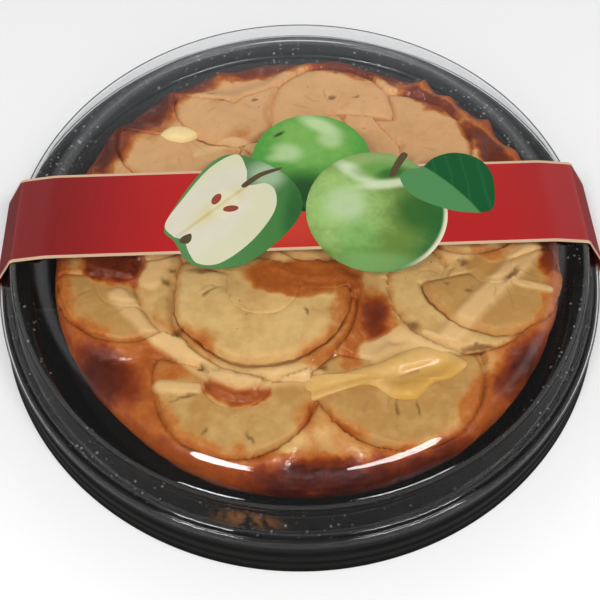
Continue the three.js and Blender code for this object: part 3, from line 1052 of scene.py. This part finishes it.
def sculpt_slice(obj, place, later, tone):
    """Softens a slice: wavy edges, a gently uneven face, veins, and a dip where another lies on it."""
    (cx, cy, lift), (radius, core), (face, gape), (tip, high) = place
    slope = math.tan(math.radians(tip))
    rows = []
    for vertex in obj.data.vertices:
        x, y, z = (value / MM for value in vertex.co)
        away = math.hypot(x, y)
        angle = math.atan2(y, x)
        wx, wy = x + cx, y + cy
        sway = 1.4 * fbm(wx, wy, lift + 3, 14) + 0.5 * fbm(wx, wy, 2, 4)
        out = 1 + sway / max(away, 4)
        x, y = x * out, y * out
        upper = smooth_step(-1, 3, z)
        dome = dome_at(wx, wy, lift)
        vein = math.cos(angle * 11 + 6 * fbm(wx, wy, 4, 24))
        shown = smooth_step(0.1, 0.4, noise.noise(Vector((wx, wy, 40)) / 9))
        line = smooth_step(0.96, 1, vein) * smooth_step(core + 2, core + 5, away)
        line *= smooth_step(radius * 0.86, core + 9, away)
        line *= shown
        past = past_end(angle, face, gape)
        cut = away * math.sin(math.radians(min(90, max(0, -past))))
        ends = smooth_step(2.4, 0, cut) * 0.9
        z += (dome - 0.3 * line - ends) * upper
        along = along_way(x, y, high)
        level = SLICE_LEVEL + lift + z + along * slope
        covered = 0
        for other in later:
            d = slice_edge(other, wx, wy)
            if d < 2:
                covered = max(covered, smooth_step(2, -1.5, d))
        level -= 3.2 * covered
        hole = hole_at(wx, wy)
        level -= 0.5 * hole * upper
        ridge, rise = ridge_at(wx, wy)
        level += 0.8 * rise * upper * (1 - covered)
        stain = max(0, fbm(wx, wy, 11, 18))
        rim = smooth_step(radius - 9, radius, away) * (0.13 + 0.34 * stain)
        rim *= 0.4 + 0.6 * smooth_step(45, 20, wy)
        film = 0.01 + rim + 0.2 * stain + 0.05 * (1 - upper) + 0.12 * covered
        film = max(film, gel_at(wx, wy))
        vertex.co = ((x + cx) * MM, (y + cy) * MM, level * MM)
        # The hole mark: painted shade in holes, with the slice's vein lines
        rows.append((film, ridge * 0.9, max(hole, 0.3 * line * upper), tone))
    mark(obj, rows)


def half_ring(name, place):
    """One slice: its cross-section as an upright sheet, spun round the core."""
    _, (radius, core), (face, gape), _ = place
    obj = fresh(bpy.ops.mesh.primitive_grid_add, name, x_subdivisions=16, y_subdivisions=4, size=2)
    start = math.radians(face + gape / 2)
    for vertex in obj.data.vertices:
        u, v, _ = vertex.co
        round_off = max(0, 1 - abs(u) ** 7) ** 0.5
        away = (core + radius) / 2 + u * (radius - core) / 2
        away -= 0.9 * abs(v) ** 3 * u
        height = v * SLICE_THICKNESS / 2 * (0.3 + 0.7 * round_off)
        vertex.co = (away * math.cos(start) * MM, away * math.sin(start) * MM, height * MM)
    edit(obj, "FACE")
    sweep = math.radians(360 - gape)
    steps = max(24, round(sweep * radius / 1.9))
    bpy.ops.mesh.spin(steps=steps, angle=-sweep, center=CENTRE, axis=(0, 0, 1))
    bpy.ops.object.mode_set(mode="OBJECT")
    tidy(obj, 180)
    apply_modifier(obj, "SUBSURF", levels=1, render_levels=1)
    return obj


def curl_folds(x, y):
    """The valley, raised lip, cross fold and golden side of the curl at a point, each 0 to 1."""
    (cx, cy), (c, s) = CURL_MIDDLE, CURL_WAY
    along = (x - cx) * c + (y - cy) * s
    across = (y - cy) * c - (x - cx) * s
    valley = math.exp(-((across / 3.4) ** 2)) * smooth_step(-19, -6, along) * smooth_step(17, 7, along)
    lip = math.exp(-(((across + 6) / 2) ** 2)) * smooth_step(-14, -6, along) * smooth_step(14, 6, along)
    fold = math.exp(-(((y + 67.6) - 0.27 * (x - 14)) ** 2) / 1.2) * smooth_step(30, 22, x)
    gold = smooth_step(3, -1.5, across) * smooth_step(-16, -7, along) * smooth_step(22, 14, along)
    return valley, lip, fold, gold


# Settings

class TartPackSettings(bpy.types.PropertyGroup):
    """Sizes of the pack's pieces"""

    tray_wall: bpy.props.FloatProperty(
        name="Tray wall", description="Thickness of the tray's plastic", default=0.0007, unit="LENGTH"
    )
    lid_wall: bpy.props.FloatProperty(
        name="Lid wall", description="Thickness of the lid's plastic", default=0.00045, unit="LENGTH"
    )
    card: bpy.props.FloatProperty(
        name="Card", description="Thickness of the sleeve's card", default=0.0004, unit="LENGTH"
    )
    sleeve_width: bpy.props.FloatProperty(
        name="Sleeve width", description="Width of the card sleeve", default=0.041, unit="LENGTH"
    )
    lens: bpy.props.FloatProperty(
        name="Lens", description="Focal length of the camera in millimetres", default=51.06
    )
    flesh_pale: bpy.props.FloatVectorProperty(
        name="Pale flesh",
        description="Colour of the lightest fruit",
        default=(0.72, 0.47, 0.18),
        subtype="COLOR",
    )
    flesh_deep: bpy.props.FloatVectorProperty(
        name="Deep flesh",
        description="Colour of the browner fruit",
        default=(0.48, 0.255, 0.072),
        subtype="COLOR",
    )


# Operators

class TART_OT_materials(bpy.types.Operator):
    """Builds the shared node groups and every material"""

    bl_idname = "tart.materials"
    bl_label = "Materials"

    def execute(self, context):
        settings = context.scene.tart_pack
        soft_spot_group()
        glaze_map_group()
        baked_fruit_group()
        droplets_group()
        painted_fruit_group()
        pale = (*settings.flesh_pale, 1)
        deep = (*settings.flesh_deep, 1)
        fruit_material("sliced_fruit", pale, deep, 0.5, 0.8)
        fruit_material("fruit_curl", (0.71, 0.43, 0.14, 1), (0.6, 0.32, 0.05, 1), 0.0, 0.1)
        fruit_material("fruit_lump", (0.95, 0.74, 0.36, 1), (0.85, 0.6, 0.24, 1), 0.0, 0.0)
        fruit_material("glazed_tart", (0.7, 0.44, 0.165, 1), (0.49, 0.255, 0.07, 1), 0.6, 1.0)
        black_plastic()
        clear_plastic()
        print_material("red_print", draw_red_card, 0.3, 0.15)
        print_material("print_back_fruit", draw_back_fruit)
        print_material("print_front_fruit", draw_front_fruit)
        print_material("print_half_skin", draw_half_skin)
        print_material("print_cut_face", draw_cut_face)
        print_material("print_leaf", draw_leaf)
        seed = {"light": (0.2, 0.03, 0.02, 1), "dark": (0.34, 0.08, 0.05, 1), "size": 1.2}
        print_material("print_seed", draw_plain, **seed)
        stem = {"light": (0.05, 0.035, 0.015, 1), "dark": (0.12, 0.09, 0.04, 1), "size": 1}
        print_material("print_stem", draw_plain, **stem)
        return {"FINISHED"}


class TART_OT_tray(bpy.types.Operator):
    """Grows the black tray ring by ring and gives it a wall"""

    bl_idname = "tart.tray"
    bl_label = "Tray"

    def execute(self, context):
        skirt = [(129.05, 1.7), (128.2, 2.7), (127.5, 6.2), (127.9, 6.9), (127.0, 8.4), (126.5, 13.0)]
        skirt += [(125.4, 14.4), (125.0, 18.0), (124.5, 22.0)]
        ledge = [(123.9, RIM_Z), (122.6, RIM_Z), (121.8, 21.6), (115.0, 21.6), (113.6, 20.0)]
        bowl = [(110.4, 7.2), (108.0, 3.9), (104.0, 3.8), (60.0, 3.8)]
        path = rounded(skirt + ledge + bowl, 0.9, 3)
        tray = grow_rings("tray_body", path)
        give_wall(tray, context.scene.tart_pack.tray_wall)
        tray.data.materials.append(bpy.data.materials["moulded_black"])
        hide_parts("tray", "tray_skirt")
        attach(tray, "root")
        return {"FINISHED"}


class TART_OT_lid(bpy.types.Operator):
    """Grows the clear lid with its rounded step and shoulder"""

    bl_idname = "tart.lid"
    bl_label = "Lid"

    def execute(self, context):
        step = [(125.9, 20.4), (125.4, 23.7), (121.8, 23.7), (120.4, 27.0)]
        shoulder = arc(LID_SHOULDER, (3.4, 3.4), range(10, 86, 8))
        top = [(106.6, 39.6), (102.4, 41.45), (97.0, LID_TOP), (60.0, LID_TOP)]
        path = rounded(step + shoulder + top, 2.6, 6)
        lid = grow_rings("lid_shell", path)
        give_wall(lid, context.scene.tart_pack.lid_wall)
        lid.data.materials.append(bpy.data.materials["thin_clear"])
        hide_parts("lid")
        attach(lid, "root")
        return {"FINISHED"}


class TART_OT_sleeve(bpy.types.Operator):
    """Folds the card band round the pack and adds the die-cut printed fruit"""

    bl_idname = "tart.sleeve"
    bl_label = "Sleeve"

    def band(self, settings):
        """The closed band of card, extruded edge by edge round the pack."""
        inner = CARD_TOP - settings.card / MM
        shoulder = arc(LID_SHOULDER, (3.9, 3.9), (66, 50, 34, 20))
        right = [(102, inner), (114, 40.1)] + shoulder
        right += [(126.4, 23.8), (126.7, 20.2), (129.6, 1.9), (129.6, 0.45)]
        left = [(-x, z) for x, z in reversed(right)]
        loop = rounded([(0, inner)] + right + left + [(0, inner)], 2.5, 4)
        half = settings.sleeve_width / 2
        band = fresh(bpy.ops.mesh.primitive_plane_add, "card_sleeve", size=1)
        first, second = loop[0] * MM, loop[1] * MM
        for vertex in band.data.vertices:
            end = second if vertex.co.x > 0 else first
            vertex.co = (end.x, math.copysign(half, vertex.co.y), end.y)
        edit(band)
        pick(band, lambda place: abs(place.x - second.x) < 1e-7)
        at = second
        for point in loop[2:]:
            step = point * MM - at
            bpy.ops.mesh.extrude_edges_move(TRANSFORM_OT_translate={"value": (step.x, 0, step.y)})
            at = point * MM
        bpy.ops.object.mode_set(mode="OBJECT")
        tidy(band, 30)
        apply_modifier(band, "SOLIDIFY", thickness=settings.card, offset=1)
        soften(band, 30)
        band.rotation_euler = Euler((0, 0, SLEEVE_TURN))
        band.location = (0, SLEEVE_SHIFT * MM, 0)
        settle(band)
        return band

    def print_layers(self):
        """The printed shapes from the lowest up: ink, outline, underside and upper face."""
        half_skin = (
            (-27, 35), (-41, 26), (-54.5, -1), (-50, -10), (-41, -21), (-20, -19), (0, 3), (-4, 22),
        )
        cut_face = (
            (-27, 35), (-38, 27.5), (-48, 12), (-54.6, -1), (-51, -7), (-46.5, -9), (-44, -15), (-40, -20),
            (-31, -19.5), (-19, -9), (-10.5, 5), (-10, 15), (-14, 19.5), (-21.5, 19), (-22.5, 27),
        )
        half_stem = ((-24, 19), (-17, 25), (-8, 28), (-8.6, 26.6), (-16, 23), (-22.5, 17.5))
        calyx = ((-47.5, -7.5), (-44, -5.8), (-43.5, -8.5), (-45, -10.6), (-48, -10))
        front_stem = ((37.5, 24), (41, 32), (44, 36), (46, 34.5), (43.5, 30), (40, 23.5))
        leaf = (
            (42, 22.3), (45.6, 26.7), (51.5, 28), (57, 33), (64.2, 35.7), (71, 35), (77, 31.5), (80.6, 25),
            (81, 16), (78.5, 6), (68, 4.8), (57.6, 7.4), (46.5, 13.5),
        )
        cut_out, inlaid = 41.95, 42.2
        return (
            ("print_back_fruit", oval(5, 31, 25.5, 26), cut_out, 42.31),
            ("print_half_skin", smooth_outline(half_skin, 96), cut_out, 42.325),
            ("print_cut_face", smooth_outline(cut_face, 120), inlaid, 42.34),
            ("print_seed", oval(-34.4, 11.4, 3, 1.7, 62, 24), inlaid, 42.355),
            ("print_seed", oval(-28.3, 6.6, 3.2, 1.6, 8, 24), inlaid, 42.355),
            ("print_stem", smooth_outline(half_stem, 40), inlaid, 42.355),
            ("print_stem", smooth_outline(calyx, 30), inlaid, 42.355),
            ("print_front_fruit", oval(31.5, 6, 29, 30, 0, 96), cut_out, 42.36),
            ("print_stem", smooth_outline(front_stem, 40), inlaid, 42.37),
            ("print_leaf", smooth_outline(leaf, 96), cut_out, 42.38),
        )

    def execute(self, context):
        band = self.band(context.scene.tart_pack)
        band.data.materials.append(bpy.data.materials["red_print"])
        slabs = []
        for k, (ink, outline, low, top) in enumerate(self.print_layers()):
            slab = shaped_slab(f"print_layer_{k}", outline, low + k * 0.002, top)
            tidy(slab, 30)
            slab.data.materials.append(bpy.data.materials[ink])
            slabs.append(slab)
        bpy.ops.object.select_all(action="DESELECT")
        for obj in (*slabs, band):
            obj.select_set(True)
        bpy.context.view_layer.objects.active = band
        bpy.ops.object.join()
        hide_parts("sleeve")
        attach(band, "root")
        return {"FINISHED"}


class TART_OT_body(bpy.types.Operator):
    """Models the baked tart body with its glazed, uneven top"""

    bl_idname = "tart.body"
    bl_label = "Tart body"

    def execute(self, context):
        grid = {"x_subdivisions": CROWN_GRID, "y_subdivisions": CROWN_GRID, "size": 2}
        tart = fresh(bpy.ops.mesh.primitive_grid_add, "tart_body", **grid)
        crown = arc((CROWN_EDGE, CROWN - 5.2), (5.3, 5.2), range(80, 7, -12))
        side = [(106.2, 20.5), (106, 18), (105.2, 13), (104, 8), (102.5, 5.2), (99.5, 4.2)]
        for vertex in tart.data.vertices:
            u, v, _ = vertex.co
            away = max(abs(u), abs(v))
            angle = math.atan2(v, u)
            if away > 0:
                quarter = round(angle / (math.pi / 2)) * math.pi / 2
                angle = quarter + math.tan(angle - quarter) * math.pi / 4
            reach = CROWN_EDGE * MM * away
            vertex.co = (reach * math.cos(angle), reach * math.sin(angle), CROWN * MM)
        edit(tart, "EDGE", "DESELECT")
        bpy.ops.mesh.select_non_manifold(extend=False)
        follow([(CROWN_EDGE, CROWN)] + crown + side, bpy.ops.mesh.extrude_edges_move)
        bpy.ops.mesh.edge_face_add()
        bpy.ops.object.mode_set(mode="OBJECT")
        tidy(tart, 180)
        sculpt_tart(tart)
        tart.data.materials.append(bpy.data.materials["glazed_tart"])
        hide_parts("tart")
        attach(tart, "root")
        return {"FINISHED"}


class TART_OT_slices(bpy.types.Operator):
    """Models each half-round slice of fruit in its place"""

    bl_idname = "tart.slices"
    bl_label = "Fruit slices"

    def execute(self, context):
        places = list(SLICES.items())
        for k, (name, place) in enumerate(places):
            piece = half_ring("fruit_" + name, place)
            sculpt_slice(piece, place, [other for _, other in places[k + 1 :]], TONES.get(name, PLAIN_TONE))
            piece.data.materials.append(bpy.data.materials["sliced_fruit"])
            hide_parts(name)
            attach(piece, "root")
        return {"FINISHED"}


class TART_OT_pieces(bpy.types.Operator):
    """Models the pale curl of fruit and the small bright lump"""

    bl_idname = "tart.pieces"
    bl_label = "Curl and lump"

    def execute(self, context):
        curl_outline = (
            (64.5, -58), (59.7, -54), (52, -49.6), (42.6, -51.8), (32, -56.8), (22, -60.2), (11.6, -63.2),
            (2, -64), (4, -73), (14.5, -69.9), (25.5, -66.8), (31.5, -70), (36, -73), (43.2, -73),
            (47.4, -69.9), (51, -66), (58, -64),
        )
        curl = pillow("fruit_curl", curl_outline, 28.2, 33.2, 0.6, 128, 40)
        lump_outline = ((-45.5, 55), (-50, 58.8), (-58, 59), (-62.5, 55), (-58, 51), (-50, 51))
        lump = pillow("fruit_lump", lump_outline, 28.4, 34.4, 0.9, 40, 20)
        for obj, node_name in ((curl, "apple_curl"), (lump, "apple_lump")):
            rows = []
            for vertex in obj.data.vertices:
                x, y, z = (value / MM for value in vertex.co)
                upper = smooth_step(29.6, 31, z)
                z += 0.3 * fbm(x, y, 3, 9) + 0.1 * fbm(x, y, z, 3)
                valley, lip, fold, gold = curl_folds(x, y) if obj is curl else (0, 0, 0, 0)
                vertex.co.z = (z + (0.5 * lip - 2.4 * valley - 0.7 * fold) * upper) * MM
                glaze = 0.05 * max(0, fbm(x, y, 2, 8)) + 0.07 * (1 - upper) + 0.06 * fold
                gloss = 0.8 * max(valley, lip) if obj is curl else 0.2
                rows.append((glaze, 0.1, 0, min(1, 0.9 * gold + 0.5 * fold), gloss))
            mark(obj, rows)
            tidy(obj, 180)
            obj.data.materials.append(bpy.data.materials[obj.name])
            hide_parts(node_name)
            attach(obj, "root")
        return {"FINISHED"}


class TART_OT_stage(bpy.types.Operator):
    """Sets the floor, the lamps, the surrounding light and the camera"""

    bl_idname = "tart.stage"
    bl_label = "Stage"

    def lamp(self, name, place, size):
        """A softbox that points at the pack, in metres."""
        bpy.ops.object.select_all(action="DESELECT")
        bpy.ops.object.light_add(type="AREA", location=place)
        made = bpy.context.object
        made.name = name
        made.data.shape = "RECTANGLE"
        made.data.size, made.data.size_y = size
        made.data.energy = LAMP_POWER
        made.rotation_euler = (LAMP_AIM - Vector(place)).to_track_quat("-Z", "Y").to_euler()

    def execute(self, context):
        scene = context.scene
        floor = fresh(bpy.ops.mesh.primitive_plane_add, "floor", size=6)
        tree, shader, _ = new_material("pale_floor", Roughness=0.9)
        # Painted dark reflection: the floor is pale to the camera and to diffuse light, but dark where
        # glossy surfaces reflect it
        path = node(tree, "ShaderNodeLightPath").outputs
        mirrored = maths(tree, "GREATER_THAN", path["Glossy Depth"], 0.5)
        mirrored = times(tree, mirrored, maths(tree, "LESS_THAN", path["Diffuse Depth"], 0.5))
        tone = blend(tree, mirrored, (0.95, 0.95, 0.95, 1), (0.1, 0.1, 0.1, 1))
        feed(tree, shader, {"Base Color": tone})
        floor.data.materials.append(bpy.data.materials["pale_floor"])
        self.lamp("softbox_left", (-0.34, -0.52, 0.96), (0.25, 0.19))
        self.lamp("softbox_right", (0.4, -0.5, 0.95), (0.42, 0.17))
        world = bpy.data.worlds.new("studio")
        scene.world = world
        world.use_nodes = True
        sky = world.node_tree
        direction = node(sky, "ShaderNodeTexCoord").outputs["Generated"]
        height = axes(sky, direction)["Z"]
        background = sky.nodes["Background"]
        background.inputs["Color"].default_value = (1, 1, 1, 1)
        sky.links.new(spread(sky, height, 0.6, 0.82, 0.85, 0.08), background.inputs["Strength"])
        camera = bpy.data.cameras.new("camera")
        camera.lens = scene.tart_pack.lens
        camera.sensor_width = 36
        camera.clip_start = 0.01
        eye = bpy.data.objects.new("camera", camera)
        scene.collection.objects.link(eye)
        eye.location = EYE
        eye.rotation_euler = (LOOK_AT - eye.location).to_track_quat("-Z", "Y").to_euler()
        scene.camera = eye
        scene.view_settings.view_transform = "Standard"
        return {"FINISHED"}


class TART_PT_panel(bpy.types.Panel):
    """Lists the steps that build the pack"""

    bl_idname = "TART_PT_panel"
    bl_label = "Fruit tart pack"
    bl_space_type = "VIEW_3D"
    bl_region_type = "UI"
    bl_category = "Tart"

    def draw(self, context):
        layout = self.layout
        settings = context.scene.tart_pack
        for name in ("tray_wall", "lid_wall", "card", "sleeve_width", "lens", "flesh_pale", "flesh_deep"):
            layout.prop(settings, name)
        for operator in STEPS:
            layout.operator(operator.bl_idname)


STEPS = (
    TART_OT_materials,
    TART_OT_tray,
    TART_OT_body,
    TART_OT_slices,
    TART_OT_pieces,
    TART_OT_lid,
    TART_OT_sleeve,
    TART_OT_stage,
)
CLASSES = (TartPackSettings, *STEPS, TART_PT_panel)


def register():
    """Registers the settings, the operators and the panel."""
    for cls in CLASSES:
        bpy.utils.register_class(cls)
    bpy.types.Scene.tart_pack = bpy.props.PointerProperty(type=TartPackSettings)


def unregister():
    """Takes them away again."""
    del bpy.types.Scene.tart_pack
    for cls in reversed(CLASSES):
        bpy.utils.unregister_class(cls)


def main():
    """Builds the whole pack."""
    register()
    bpy.ops.tart.materials()
    bpy.ops.tart.tray()
    bpy.ops.tart.body()
    bpy.ops.tart.slices()
    bpy.ops.tart.pieces()
    bpy.ops.tart.lid()
    bpy.ops.tart.sleeve()
    bpy.ops.tart.stage()


if __name__ == "__main__":
    main()
